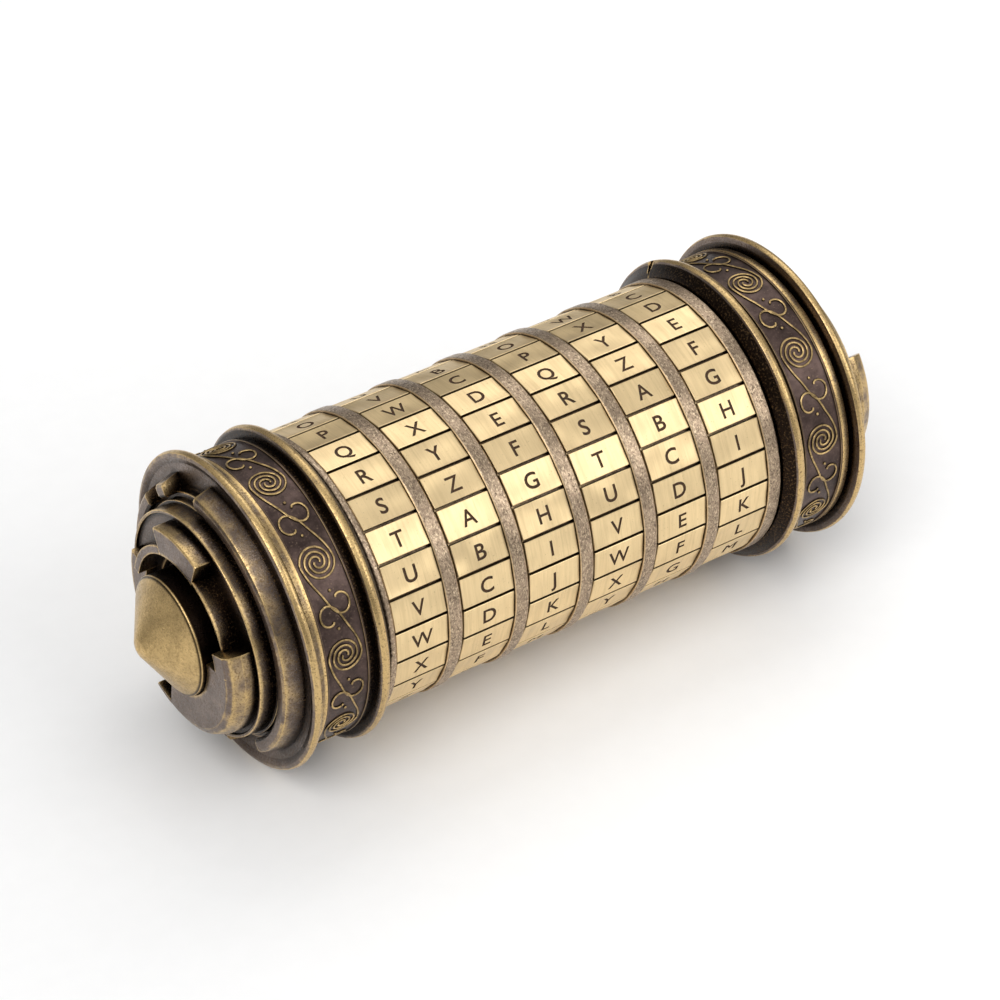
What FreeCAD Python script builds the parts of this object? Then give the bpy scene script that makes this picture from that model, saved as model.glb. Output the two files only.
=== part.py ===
import FreeCAD, Part
import math
import os

# Cryptex: six letter dials turn on a slotted barrel, and a vault slides out of its near end.
#
# The row frame is in millimetres. +X runs along the dials' axis, from the vault's head to the barrel's closed
# end, +Z is up, and the origin lies under the middle of the length, on the surface that the rims lie on.
# Shapes are made about an axis through z = 0, and save() lifts them to the height of the rims' radius.
# Angles about the axis are in degrees, from straight up towards -Y.

Vector = FreeCAD.Vector
AXIS = Vector(1, 0, 0)
ORIGIN = Vector(0, 0, 0)

# Driving dimensions
LENGTH = 129.6
OUTER_RIM_R = 25.0
INNER_RIM_R = 24.7
BAND_R = 22.5               # plain band of each dial
DIAL_COUNT = 6
LETTER_COUNT = 26
DIAL_PITCH = 11.7
DIAL_WIDTH = 11.3
TILE_WIDTH = 8.9            # lettered part of a dial
TILE_FLAT_R = 22.05         # from the axis to the middle of a letter's flat
RETAINER_SPACE = 1.4        # room on the axis for the ring that keeps the dials on
INDEX_ANGLE = -35.5         # where the code is read, and where the slot and the teeth are
DIAL_REST_PLAY = (-1.1, 1.7, -1.7, 1.1, -3.0, 2.4)   # how far each dial stands off the index, degrees

# Barrel, vault and code rings
RUNNING_CLEARANCE = 0.06
VAULT_BORE_R = 13.2
VAULT_R = 14.4
BARREL_BORE_R = VAULT_R + RUNNING_CLEARANCE
BARREL_R = 15.9
CODE_BORE_R = BARREL_R + RUNNING_CLEARANCE
CODE_RELIEF_R = 18.6        # the teeth stand in this relief while a dial is turned
CODE_R = 19.45
LETTER_BORE_R = 19.5
SPLINE_R = 20.1
SPLINE_WIDTH = 1.0
KEY_FLAT_R = 13.9           # flat on the vault that the key rail is riveted to
KEY_RAIL_R = 15.7
KEY_TOOTH_R = 18.2
KEY_WIDTH = 3.4
SLOT_WIDTH = 3.8
RIVET_R = 0.6
RIVET_HEAD_R = 1.1
RIVET_HEAD = 0.6
NOTCH_WIDTH = 6.4
NOTCH_R = 18.9
SOCKET_DEPTH = 8.0          # how deep a tube sits in its cap
VAULT_END_GAP = 0.9         # between the vault's mouth and the barrel's closed end

# End caps, as distances outwards from the inner face
HUB_LENGTH = 11.05
SLEEVE_START = 3.8
SEAT_R = 21.6
SLEEVE_R = 22.75
SLEEVE_LIP_R = 23.1
RIM_FACE = 13.9
RING_TOP = 17.0
COLLAR_TOP = 19.0
LOW_LOBE_TOP = 21.6
SIDE_LOBE_TOP = 20.3
HIGH_LOBE_TOP = 22.9
CAP_LENGTH = (LENGTH - RETAINER_SPACE - DIAL_COUNT * DIAL_PITCH) / 2
FINIAL_R = 9.4
FINIAL_SHOULDER = 23.5
TIP_R = 1.8                 # rounded point of the cone
STUD_R = 2.5
STUD_END = 9.2
SCREW_R = 1.5
SCREW_LENGTH = 5.2
SCREW_POSITION = 5.8
FAR_CAP_ROLL = -105.0

HEAD_FACE = CAP_LENGTH - LENGTH / 2
DIAL_START = HEAD_FACE + RETAINER_SPACE
FAR_FACE = LENGTH / 2 - CAP_LENGTH
LETTER_STEP = 360.0 / LETTER_COUNT


def lathe(profile, start=0.0, sweep=360.0):
    """Turn a closed outline of (x, radius) points, or (x, radius, "arc") for a point on an arc, about the axis."""
    edges = []
    points = profile + [profile[0]]
    here = points[0]
    index = 1
    while index < len(points):
        there = points[index]
        a = Vector(here[0], 0, here[1])
        b = Vector(there[0], 0, there[1])
        if len(there) == 3:
            there = points[index + 1]
            c = Vector(there[0], 0, there[1])
            edges.append(Part.Arc(a, b, c).toShape())
            index += 1
        else:
            edges.append(Part.LineSegment(a, b).toShape())
        here = there
        index += 1
    face = Part.Face(Part.Wire(edges))
    solid = face.revolve(ORIGIN, AXIS, sweep)
    return turned(solid, start)


def ring(x0, x1, inner, outer, start=0.0, sweep=360.0):
    """Plain ring, or a sector of one."""
    return lathe([(x0, inner), (x1, inner), (x1, outer), (x0, outer)], start, sweep)


def turned(shape, angle):
    """A copy of the shape turned about the axis."""
    copy = shape.copy()
    copy.rotate(ORIGIN, AXIS, angle)
    return copy


def moved(shape, x):
    """A copy of the shape moved along the axis."""
    copy = shape.copy()
    copy.translate(Vector(x, 0, 0))
    return copy


def bar(x0, x1, low, high, width, angle):
    """Straight bar along the axis, between two heights over it, at an angle about it."""
    box = Part.makeBox(x1 - x0, width, high - low, Vector(x0, -width / 2, low))
    return turned(box, angle)


def spoke(x, low, high, radius, angle):
    """Round pin that points away from the axis."""
    pin = Part.makeCylinder(radius, high - low, Vector(x, 0, low), Vector(0, 0, 1))
    return turned(pin, angle)


def save(name, shape):
    """Check one sub-part, lift it to the rims' height and write it."""
    shape = shape.removeSplitter()
    solids = shape.Solids
    if not shape.isValid() or not solids:
        raise RuntimeError(name + " is not a valid solid")
    result = solids[0] if len(solids) == 1 else Part.makeCompound(solids)
    result = result.copy()
    result.translate(Vector(0, 0, OUTER_RIM_R))
    result.exportStep("parts/" + name + ".step")
    box = result.BoundBox
    print("%-22s %2d solid  %8.1f mm3  x %7.2f %7.2f" % (name, len(solids), result.Volume, box.XMin, box.XMax))


def barrel_tube():
    """Slotted tube that the dials turn on; its far end sits in the far cap."""
    tube = ring(HEAD_FACE + 0.1, FAR_FACE + SOCKET_DEPTH, BARREL_BORE_R, BARREL_R)
    slot = bar(HEAD_FACE - 1, FAR_FACE - 0.4, BARREL_BORE_R - 1, BARREL_R + 1, SLOT_WIDTH, INDEX_ANGLE)
    return tube.cut(slot)


def retaining_ring():
    """Ring on the barrel's open end that keeps the dials on, with a notch for the teeth."""
    x0 = HEAD_FACE + 0.1
    x1 = DIAL_START - 0.15
    bead = 0.35
    outline = [(x0, BARREL_R), (x1, BARREL_R), (x1, BAND_R - bead), (x1 - 0.1, BAND_R - 0.1, "arc"),
               (x1 - bead, BAND_R), (x0 + bead, BAND_R), (x0 + 0.1, BAND_R - 0.1, "arc"), (x0, BAND_R - bead)]
    notch = bar(x0 - 1, x1 + 1, BARREL_R - 1, NOTCH_R, NOTCH_WIDTH, INDEX_ANGLE)
    return lathe(outline).cut(notch)


def letter_ring():
    """Outer ring of a dial: one flat for each letter, a plain band, and splines in the bore."""
    corner_r = TILE_FLAT_R / math.cos(math.pi / LETTER_COUNT)
    corners = []
    for k in range(LETTER_COUNT + 1):
        angle = math.radians((k + 0.5) * LETTER_STEP)
        corners.append(Vector(0, -corner_r * math.sin(angle), corner_r * math.cos(angle)))
    tiles = Part.Face(Part.makePolygon(corners)).extrude(Vector(TILE_WIDTH + 0.2, 0, 0))
    x0 = TILE_WIDTH + 0.15
    x1 = DIAL_WIDTH
    edge = 0.4
    band = lathe([(x0, LETTER_BORE_R), (x1, LETTER_BORE_R), (x1, BAND_R - edge), (x1 - 0.12, BAND_R - 0.12, "arc"),
                  (x1 - edge, BAND_R), (x0 + edge, BAND_R), (x0 + 0.12, BAND_R - 0.12, "arc"),
                  (x0, BAND_R - edge)])
    shoulder = 1.0
    body = tiles.fuse(band)
    body = body.cut(ring(-1, DIAL_WIDTH + 1, 0, NOTCH_R))
    body = body.cut(ring(shoulder, DIAL_WIDTH + 1, 0, LETTER_BORE_R))
    grooves = []
    for k in range(LETTER_COUNT):
        grooves.append(bar(shoulder, DIAL_WIDTH + 1, LETTER_BORE_R - 1, SPLINE_R, SPLINE_WIDTH, k * LETTER_STEP))
    return body.cut(grooves)


def code_ring():
    """Inner ring of a dial: its flange stops the tooth unless its notch is at the slot."""
    x0 = 1.0
    flange_end = 4.1
    x1 = DIAL_WIDTH - 0.2
    outline = [(x0, CODE_BORE_R), (flange_end, CODE_BORE_R), (flange_end, CODE_RELIEF_R), (x1, CODE_RELIEF_R),
               (x1, CODE_R), (x0, CODE_R)]
    body = lathe(outline)
    lug_width = SPLINE_WIDTH - 0.1
    for k in (6, 19):
        lug = bar(x0 + 1, x1 - 1, CODE_RELIEF_R + 0.3, SPLINE_R - 0.05, lug_width, k * LETTER_STEP)
        body = body.fuse(lug)
    notch = bar(x0 - 1, flange_end + 0.5, CODE_BORE_R - 1, CODE_RELIEF_R, NOTCH_WIDTH, 0)
    return body.cut(notch)


def vault_tube():
    """Tube that holds the message: its head end sits in the near cap and its mouth is open."""
    tube = ring(HEAD_FACE - SOCKET_DEPTH, FAR_FACE - VAULT_END_GAP, VAULT_BORE_R, VAULT_R)
    flat = bar(HEAD_FACE - 0.05, FAR_FACE + 1, KEY_FLAT_R, VAULT_R + 1, 3 * KEY_WIDTH, INDEX_ANGLE)
    tube = tube.cut(flat)
    for x in rivet_places():
        tube = tube.cut(spoke(x, VAULT_BORE_R - 1, VAULT_R, RIVET_R, INDEX_ANGLE))
    return tube


def tooth_start(number):
    """Where the tooth of a dial starts along the axis."""
    behind_flange = 4.4
    return DIAL_START + number * DIAL_PITCH + behind_flange


def key_rail():
    """Rail with one tooth for each dial."""
    tooth_length = 4.5
    rail = bar(HEAD_FACE, FAR_FACE - VAULT_END_GAP, KEY_FLAT_R, KEY_RAIL_R, KEY_WIDTH, INDEX_ANGLE)
    for number in range(DIAL_COUNT):
        x = tooth_start(number)
        rail = rail.fuse(bar(x, x + tooth_length, KEY_FLAT_R, KEY_TOOTH_R, KEY_WIDTH, INDEX_ANGLE))
    for x in rivet_places():
        rail = rail.cut(rivet(x))
    return rail


def rivet_places():
    """The rail's rivets stand between its teeth."""
    before_tooth = 2.6
    return [tooth_start(number) - before_tooth for number in range(DIAL_COUNT)]


def rivet(x):
    """Countersunk rivet through the rail and the vault's wall."""
    top = KEY_RAIL_R
    shank = spoke(x, VAULT_BORE_R + 0.05, top, RIVET_R, 0)
    head = Part.makeCone(RIVET_R, RIVET_HEAD_R, RIVET_HEAD, Vector(x, 0, top - RIVET_HEAD), Vector(0, 0, 1))
    return turned(shank.fuse(head), INDEX_ANGLE)


def cap_hub(bore):
    """Inner half of an end cap: a socket for a tube, the inner rim and the seat of the patterned sleeve."""
    s = -1.0                # the outward way along the axis
    wall = 9.0
    outline = [(0, bore), (0, 22.4), (s * 0.5, 23.3), (s * 1.15, 24.1), (s * 1.35, 24.55, "arc"),
               (s * 1.9, INNER_RIM_R), (s * 2.55, 24.5, "arc"), (s * 2.85, 23.9), (s * 2.95, 22.7),
               (s * SLEEVE_START, 22.7), (s * SLEEVE_START, SEAT_R), (s * HUB_LENGTH, SEAT_R),
               (s * HUB_LENGTH, STUD_R), (s * wall, STUD_R), (s * wall, VAULT_BORE_R),
               (s * SOCKET_DEPTH, VAULT_BORE_R), (s * SOCKET_DEPTH, bore)]
    hub = lathe(outline)
    for angle in screw_angles():
        hub = hub.cut(spoke(s * SCREW_POSITION, bore - 1, SEAT_R + 1, SCREW_R, angle))
    return hub


def screw_angles():
    """Three grub screws hold each tube in its cap."""
    return [60 + 120 * k for k in range(3)]


def cap_screws(bore):
    """Grub screws with hexagon sockets, hidden by the patterned sleeve."""
    socket_flat = 0.75
    socket_depth = 1.6
    corners = []
    for k in range(7):
        angle = math.radians(60 * k)
        corners.append(Vector(-SCREW_POSITION + socket_flat * math.cos(angle), socket_flat * math.sin(angle), 0))
    screws = []
    for angle in screw_angles():
        top = bore + SCREW_LENGTH
        pin = spoke(-SCREW_POSITION, bore, top, SCREW_R, 0)
        key = Part.Face(Part.makePolygon(corners)).extrude(Vector(0, 0, socket_depth))
        key.translate(Vector(0, 0, top - socket_depth))
        screws.append(turned(pin.cut(key), angle))
    return Part.makeCompound(screws)


def filigree_sleeve():
    """Sleeve between the rims, with a raised lip along each edge; its scroll pattern is a surface relief."""
    s = -1.0
    lip = 0.3
    start = SLEEVE_START
    end = HUB_LENGTH
    outline = [(s * start, SEAT_R), (s * start, SLEEVE_LIP_R), (s * (start + lip), SLEEVE_LIP_R),
               (s * (start + lip), SLEEVE_R), (s * (end - lip), SLEEVE_R), (s * (end - lip), SLEEVE_LIP_R),
               (s * end, SLEEVE_LIP_R), (s * end, SEAT_R)]
    return lathe(outline)


def end_plate():
    """Outer half of an end cap: the outer rim and the stepped boss with its broken ring and its lobes."""
    s = -1.0
    base = [(s * HUB_LENGTH, STUD_R + 0.1), (s * HUB_LENGTH, 23.1), (s * 12.3, 23.1), (s * 12.3, 22.4),
            (s * 12.75, 22.4), (s * 12.8, 23.9), (s * 13.0, 24.75, "arc"), (s * 13.5, OUTER_RIM_R),
            (s * 14.15, 24.75, "arc"), (s * 14.3, 24.2), (s * RIM_FACE, 23.2), (s * RIM_FACE, 19.2),
            (s * 15.2, 19.2), (s * 15.2, 18.4), (s * 16.3, 18.3), (s * 16.3, 17.9),
            (s * COLLAR_TOP, 17.75), (s * COLLAR_TOP, 17.3), (s * (COLLAR_TOP - 0.5), 17.2),
            (s * (COLLAR_TOP - 0.5), 10.5), (s * 17.6, 10.5), (s * 17.6, STUD_R + 0.1)]
    plate = lathe(base)
    # broken ring: two long arcs, and two short teeth in the gaps between them
    ring_outline = [(s * (RIM_FACE - 0.2), 18.9), (s * (RING_TOP - 0.25), 18.9), (s * RING_TOP, 19.3),
                    (s * RING_TOP, 20.5), (s * (RING_TOP - 0.3), 20.95), (s * (RIM_FACE + 0.3), 21.7),
                    (s * (RIM_FACE - 0.2), 21.8)]
    for start, end in ((-6, 142), (169, 176), (190, 306), (320, 327)):
        plate = plate.fuse(lathe(ring_outline, start, end - start))
    # a thin wall at the back of each of the two gaps, the side lobe, a step, and the low lobe
    floor = s * (COLLAR_TOP - 1.0)
    for start, end, outer, top, inner in ((20, 70, 12.9, LOW_LOBE_TOP, 12.45),
                                          (203, 251, 12.9, LOW_LOBE_TOP, 12.45),
                                          (251, 284, 16.5, SIDE_LOBE_TOP, 12.0),
                                          (284, 337, 13.3, LOW_LOBE_TOP, 12.0),
                                          (337, 380, 16.3, LOW_LOBE_TOP, 12.0)):
        plate = plate.fuse(ring(s * top, floor, inner, outer, start, end - start))
    # high lobe with its rounded shoulder, which thins to a wall where it ends, and its land beside the finial
    for start, end, inner in ((70, 188, 12.0), (188, 203, 14.2)):
        lobe = [(floor, inner), (floor, 16.6), (s * 20.6, 16.5), (s * 22.3, 15.7, "arc"),
                (s * HIGH_LOBE_TOP, 14.7), (s * HIGH_LOBE_TOP, inner)]
        plate = plate.fuse(lathe(lobe, start, end - start))
    land = ring(s * HIGH_LOBE_TOP, s * 17.4, FINIAL_R + 0.15, 12.2, 84, 104)
    return plate.fuse(land)


def cone_finial():
    """Low cone on a round neck, with the stud that clamps the end plate and the sleeve to the hub."""
    s = -1.0
    neck_r = 9.3
    flank_start = FINIAL_SHOULDER + 0.45
    flank_r = FINIAL_R - 0.5
    # the flank is tangent to a ball at the tip: slope is its angle to the axis
    centre = CAP_LENGTH - TIP_R
    reach = math.hypot(flank_r, centre - flank_start)
    slope = math.acos(TIP_R / reach) - math.atan2(centre - flank_start, flank_r)
    half_way = (math.pi / 2 - slope) / 2
    outline = [(s * STUD_END, 0), (s * STUD_END, STUD_R), (s * 17.6, STUD_R), (s * 17.6, neck_r),
               (s * (FINIAL_SHOULDER - 0.5), neck_r), (s * FINIAL_SHOULDER, FINIAL_R, "arc"),
               (s * flank_start, flank_r), (s * (centre + TIP_R * math.sin(slope)), TIP_R * math.cos(slope)),
               (s * (centre + TIP_R * math.cos(half_way)), TIP_R * math.sin(half_way), "arc"), (s * CAP_LENGTH, 0)]
    return lathe(outline)


def on_head(shape):
    """Place an end-cap shape at the vault's head."""
    return moved(shape, HEAD_FACE)


def on_far_end(shape):
    """Place an end-cap shape, turned end for end and rolled, at the barrel's closed end."""
    copy = shape.copy()
    copy.rotate(ORIGIN, Vector(0, 0, 1), 180)
    return moved(turned(copy, FAR_CAP_ROLL), FAR_FACE)


def index_mark():
    """V notch in the far cap's inner rim, at the angle where the code is read."""
    depth = 1.2
    half = 0.8
    wedge = Part.Face(Part.makePolygon([Vector(0, -half, INNER_RIM_R + 0.2), Vector(0, half, INNER_RIM_R + 0.2),
                                        Vector(0, 0, INNER_RIM_R - 2 * depth), Vector(0, -half, INNER_RIM_R + 0.2)]))
    return moved(turned(wedge.extrude(Vector(2.4, 0, 0)), INDEX_ANGLE), FAR_FACE - 0.3)


def main():
    os.makedirs("parts", exist_ok=True)
    save("barrel_tube", barrel_tube())
    save("retaining_ring", retaining_ring())
    save("far_cap_hub", on_far_end(cap_hub(BARREL_R)).cut(index_mark()))
    save("far_cap_screws", on_far_end(cap_screws(BARREL_R)))
    save("far_filigree_sleeve", on_far_end(filigree_sleeve()))
    save("far_end_plate", on_far_end(end_plate()))
    save("far_cone_finial", on_far_end(cone_finial()))

    outer = letter_ring()
    inner = code_ring()
    for number in range(DIAL_COUNT):
        x = DIAL_START + number * DIAL_PITCH
        angle = INDEX_ANGLE + DIAL_REST_PLAY[number]
        save("letter_ring_%d" % (number + 1), moved(turned(outer, angle), x))
        save("code_ring_%d" % (number + 1), moved(turned(inner, angle), x))

    save("vault_tube", vault_tube())
    save("key_rail", key_rail())
    save("key_rivets", Part.makeCompound([rivet(x) for x in rivet_places()]))
    save("head_cap_hub", on_head(cap_hub(VAULT_R)))
    save("head_cap_screws", on_head(cap_screws(VAULT_R)))
    save("head_filigree_sleeve", on_head(filigree_sleeve()))
    save("head_end_plate", on_head(end_plate()))
    save("head_cone_finial", on_head(cone_finial()))


main()
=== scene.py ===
"""Cryptex: letter dials on a slotted barrel, two filigree caps and a sliding vault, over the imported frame."""

import math

import bmesh
import bpy
import numpy as np
from bpy.props import FloatProperty, FloatVectorProperty, IntProperty, PointerProperty, StringProperty
from mathutils import Matrix, Vector


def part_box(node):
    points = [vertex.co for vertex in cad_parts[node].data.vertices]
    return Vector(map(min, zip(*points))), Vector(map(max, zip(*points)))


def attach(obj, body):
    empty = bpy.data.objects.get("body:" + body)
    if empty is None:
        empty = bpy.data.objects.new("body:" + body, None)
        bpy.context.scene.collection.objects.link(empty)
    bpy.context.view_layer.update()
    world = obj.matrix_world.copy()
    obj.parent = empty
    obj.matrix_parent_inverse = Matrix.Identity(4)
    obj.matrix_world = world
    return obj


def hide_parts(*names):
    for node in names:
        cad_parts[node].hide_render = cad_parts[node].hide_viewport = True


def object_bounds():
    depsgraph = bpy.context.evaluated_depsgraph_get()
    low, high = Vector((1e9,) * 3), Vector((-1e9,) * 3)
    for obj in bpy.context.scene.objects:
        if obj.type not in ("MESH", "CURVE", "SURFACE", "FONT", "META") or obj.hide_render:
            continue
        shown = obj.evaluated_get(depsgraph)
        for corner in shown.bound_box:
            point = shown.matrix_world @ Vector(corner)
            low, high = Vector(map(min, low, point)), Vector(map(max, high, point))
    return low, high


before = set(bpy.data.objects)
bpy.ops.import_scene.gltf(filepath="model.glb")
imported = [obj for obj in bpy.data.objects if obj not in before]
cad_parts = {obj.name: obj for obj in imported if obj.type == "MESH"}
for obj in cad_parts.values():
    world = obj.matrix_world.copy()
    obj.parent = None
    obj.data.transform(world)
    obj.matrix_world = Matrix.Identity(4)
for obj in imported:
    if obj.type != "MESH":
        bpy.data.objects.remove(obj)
CAD_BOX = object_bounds()

bl_info = {
    "name": "Cryptex",
    "version": (1, 0, 0),
    "blender": (4, 5, 0),
    "location": "View3D > Sidebar > Cryptex",
    "description": "Makes the dials, caps and finishes of a cryptex over its packed frame",
    "category": "Object",
}

MM = 0.001
AXIS_HEIGHT = (CAD_BOX[0].z + CAD_BOX[1].z) / 2
HEAD_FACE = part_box("head_cap_hub")[1].x
FAR_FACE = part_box("far_cap_hub")[0].x
FAR_CAP_ROLL = math.radians(-105)

# The index's angle, the letters that the dials show at it, and how far each dial stands off it, in degrees.
INDEX_ANGLE = -35.5
DIAL_LETTERS = "NUANVB"
DIAL_PLAY = (-1.1, 1.7, -1.7, 1.1, -3.0, 2.4)
TILE_DEPTH = 0.00055
# A capital's height and a scroll dot's radius, as shares of the letter size and of the scroll's thickness.
CAPITAL_SHARE = 0.73
DOT_SHARE = 0.72

# Steps in a whole turn and in a rounded corner, the longest stretch of an outline in millimetres, and the
# turn in degrees over which a wall steps in or out.
TURN_STEPS = 256
CORNER_STEPS = 3
LONGEST_STRETCH = 0.6
JUMP = 0.02
# The angle from which an edge is sharp, and how far a fully worn vertex stands proud of its neighbours.
SHARP_EDGE = math.radians(32)
FULL_WEAR = 0.16

# Outlines are in millimetres, as (distance out from the cap's inner face, radius, radius of the corner).
HUB_RIM = [
    (0.0, 22.4, 0.12), (0.5, 23.25, 0.0), (1.15, 24.05, 0.15), (1.35, 24.5, 0.15), (1.9, 24.7, 0.5),
    (2.55, 24.5, 0.3), (2.85, 23.9, 0.15), (2.95, 22.7, 0.0), (3.8, 22.7, 0.0), (3.8, 21.6, 0.0),
    (11.05, 21.6, 0.0), (11.05, 2.5, 0.0), (9.0, 2.5, 0.0), (9.0, 13.2, 0.0), (8.0, 13.2, 0.0),
]
SLEEVE = [
    (3.8, 21.6, 0.0), (3.8, 23.1, 0.08), (4.1, 23.1, 0.08), (4.1, 22.75, 0.06), (10.75, 22.75, 0.06),
    (10.75, 23.1, 0.08), (11.05, 23.1, 0.08), (11.05, 21.6, 0.0),
]
END_PLATE = [
    (11.05, 2.6, 0.0), (11.05, 23.1, 0.0), (12.3, 23.1, 0.12), (12.3, 22.4, 0.1), (12.75, 22.4, 0.1),
    (12.8, 23.9, 0.2), (13.0, 24.8, 0.2), (13.5, 25.0, 0.5), (14.15, 24.8, 0.3), (14.3, 24.2, 0.2),
    (13.9, 23.2, 0.3), (13.9, 19.2, 0.25), (15.2, 19.2, 0.15), (15.2, 18.4, 0.12), (16.3, 18.3, 0.15),
    (16.3, 17.9, 0.12), (19.0, 17.75, 0.14), (19.0, 17.3, 0.12), (18.5, 17.2, 0.15), (18.5, 10.5, 0.0),
    (17.6, 10.5, 0.0), (17.6, 2.6, 0.0),
]
BROKEN_RING = [
    (13.7, 18.9, 0.0), (16.75, 18.9, 0.0), (17.0, 19.3, 0.15), (17.0, 20.5, 0.2), (16.7, 20.95, 0.35),
    (14.2, 21.7, 0.25), (13.7, 21.8, 0.0),
]
# Angles round a cap are in degrees, from its top towards the front, before the far cap is turned and rolled.
BROKEN_RING_ARCS = ((-6, 142), (169, 176), (190, 306), (320, 327))
HIGH_LOBE = [
    (17.5, 12.0, 0.0), (17.5, 16.6, 0.0), (20.6, 16.5, 0.6), (22.3, 15.8, 0.8), (22.9, 14.7, 0.3),
    (22.9, 12.0, 0.0),
]
# Outside its crest the high lobe is the same all round. Its inner side jumps, as (from, to, radius).
HIGH_LOBE_CREST = 14.8
HIGH_LOBE_SPANS = ((70, 84, 12.0), (84, 188, 9.55), (188, 203, 14.2))
THIN_WALL = [(18.0, 12.45, 0.0), (18.0, 12.9, 0.0), (21.6, 12.9, 0.0), (21.6, 12.45, 0.0)]
LOW_LAND = [(18.0, 12.0, 0.0), (18.0, 13.3, 0.0), (21.6, 13.3, 0.0), (21.6, 12.0, 0.0)]
LOW_LOBE = [(18.0, 12.0, 0.0), (18.0, 16.3, 0.0), (21.6, 16.3, 0.25), (21.6, 12.0, 0.0)]
SIDE_LOBE = [(18.0, 12.0, 0.0), (18.0, 16.5, 0.0), (20.3, 16.5, 0.25), (20.3, 12.0, 0.0)]
BOSS_FEATURES = (
    (THIN_WALL, 20, 70), (THIN_WALL, 203, 251), (SIDE_LOBE, 251, 284), (LOW_LAND, 284, 337),
    (LOW_LOBE, 337, 380),
)
FINIAL = [
    (9.2, 0.0, 0.0), (9.2, 2.5, 0.0), (17.6, 2.5, 0.0), (17.6, 9.3, 0.0), (23.0, 9.35, 0.2),
    (23.55, 9.4, 0.3), (23.95, 8.9, 0.25), (28.55, 1.45, 1.1), (29.0, 0.0, 0.0),
]

# One arm of a scroll, in millimetres along the axis and round the sleeve, from its curl to its spiral.
SCROLL_CURL = (
    (-0.66, -5.50), (-0.78, -5.20), (-1.12, -5.03), (-1.62, -5.05), (-2.12, -5.30), (-2.50, -5.85),
    (-2.60, -6.55), (-2.38, -7.30), (-1.90, -7.82), (-1.20, -8.00), (-0.42, -7.72), (0.22, -7.05),
    (0.68, -6.10), (1.30, -4.55), (2.02, -2.95), (2.50, -1.45),
)
SPIRAL_START = 2.72
SPIRAL_END = 0.40
SPIRAL_TURNS = 1.55
SCROLL_DOT = (0.18, 4.32)

# Stains, pits and rubs, and painted shade in grooves, gaps and hollows, over the colours that a user would
# change.
DULL_BRASS = Vector((0.60, 0.45, 0.24))
TILE_PIT = Vector((0.25, 0.17, 0.08))
TILE_GROOVE_SHADE = Vector((0.060, 0.034, 0.016))
BAND_PIT = Vector((0.12, 0.085, 0.060))
BAND_SCRATCH = Vector((0.78, 0.62, 0.42))
BAND_EDGE = Vector((0.74, 0.54, 0.30))
BAND_GAP_SHADE = Vector((0.022, 0.013, 0.008))
CAP_SPECK = Vector((0.14, 0.085, 0.04))
CONE_SPECK = Vector((0.26, 0.17, 0.07))
SLEEVE_SPECK = Vector((0.24, 0.17, 0.12))
SCROLL_SPECK = Vector((0.13, 0.085, 0.055))
TURNED_HOLLOW_SHADE = Vector((0.08, 0.055, 0.03))

# The stage. Each light box is a name, a direction, a width, a height and a radiance.
LIGHT_BOXES = (
    ("front_box", (0.448, -0.720, 0.530), 0.90, 0.46, 2.0),
    ("back_box", (0.448, 0.399, 0.801), 0.90, 0.42, 1.35),
)
LIGHT_DISTANCE = 0.80
WIDE_LAMP_DIRECTION = Vector((-0.55, -0.30, 0.78))
WIDE_LAMP_STRENGTH = 1.3
WIDE_LAMP_ANGLE = math.radians(40)
SKY_AT_HORIZON = 0.12
SKY_OVERHEAD = 0.66
CAMERA_PLACE = (-0.24664, -0.35541, 0.36070)
CAMERA_RIGHT = Vector((0.8228, -0.5683, 0.0))
CAMERA_UP = Vector((0.3493, 0.5057, 0.7888))
FOCAL_LENGTH = 129.7


class CryptexSizes(bpy.types.PropertyGroup):
    """Sizes that a maker would change."""

    tile_width: FloatProperty(
        name="Tile width", description="Length of a lettered tile along the axis",
        default=0.0089, unit="LENGTH", precision=5)
    tile_gap: FloatProperty(
        name="Tile gap", description="Width of the groove between two tiles",
        default=0.00050, unit="LENGTH", precision=5)
    tile_edge: FloatProperty(
        name="Tile edge", description="Width of the bevel round a tile",
        default=0.00008, unit="LENGTH", precision=5)
    flat_radius: FloatProperty(
        name="Flat radius", description="From the axis to the middle of a tile",
        default=0.02205, unit="LENGTH", precision=5)
    letter_height: FloatProperty(
        name="Letter height", description="Height of an engraved capital",
        default=0.0025, unit="LENGTH", precision=5)
    letter_weight: FloatProperty(
        name="Letter weight", description="How much each side of a stroke is widened",
        default=0.00007, unit="LENGTH", precision=6)
    engraving: FloatProperty(
        name="Engraving depth", description="How deep the letters are cut",
        default=0.00016, unit="LENGTH", precision=5)
    alphabet: StringProperty(
        name="Alphabet", description="The letters round a dial, in reading order",
        default="ABCDEFGHIJKLMNOPQRSTUVWXYZ")
    scroll_count: IntProperty(
        name="Scrolls", description="Scrolls round each sleeve",
        default=10, min=3)
    scroll_wire: FloatProperty(
        name="Scroll thickness", description="Thickness of a scroll's raised line",
        default=0.00040, unit="LENGTH", precision=5)
    edge_bevel: FloatProperty(
        name="Boss edges", description="Rounding of the boss's cut edges",
        default=0.00016, unit="LENGTH", precision=5)


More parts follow.
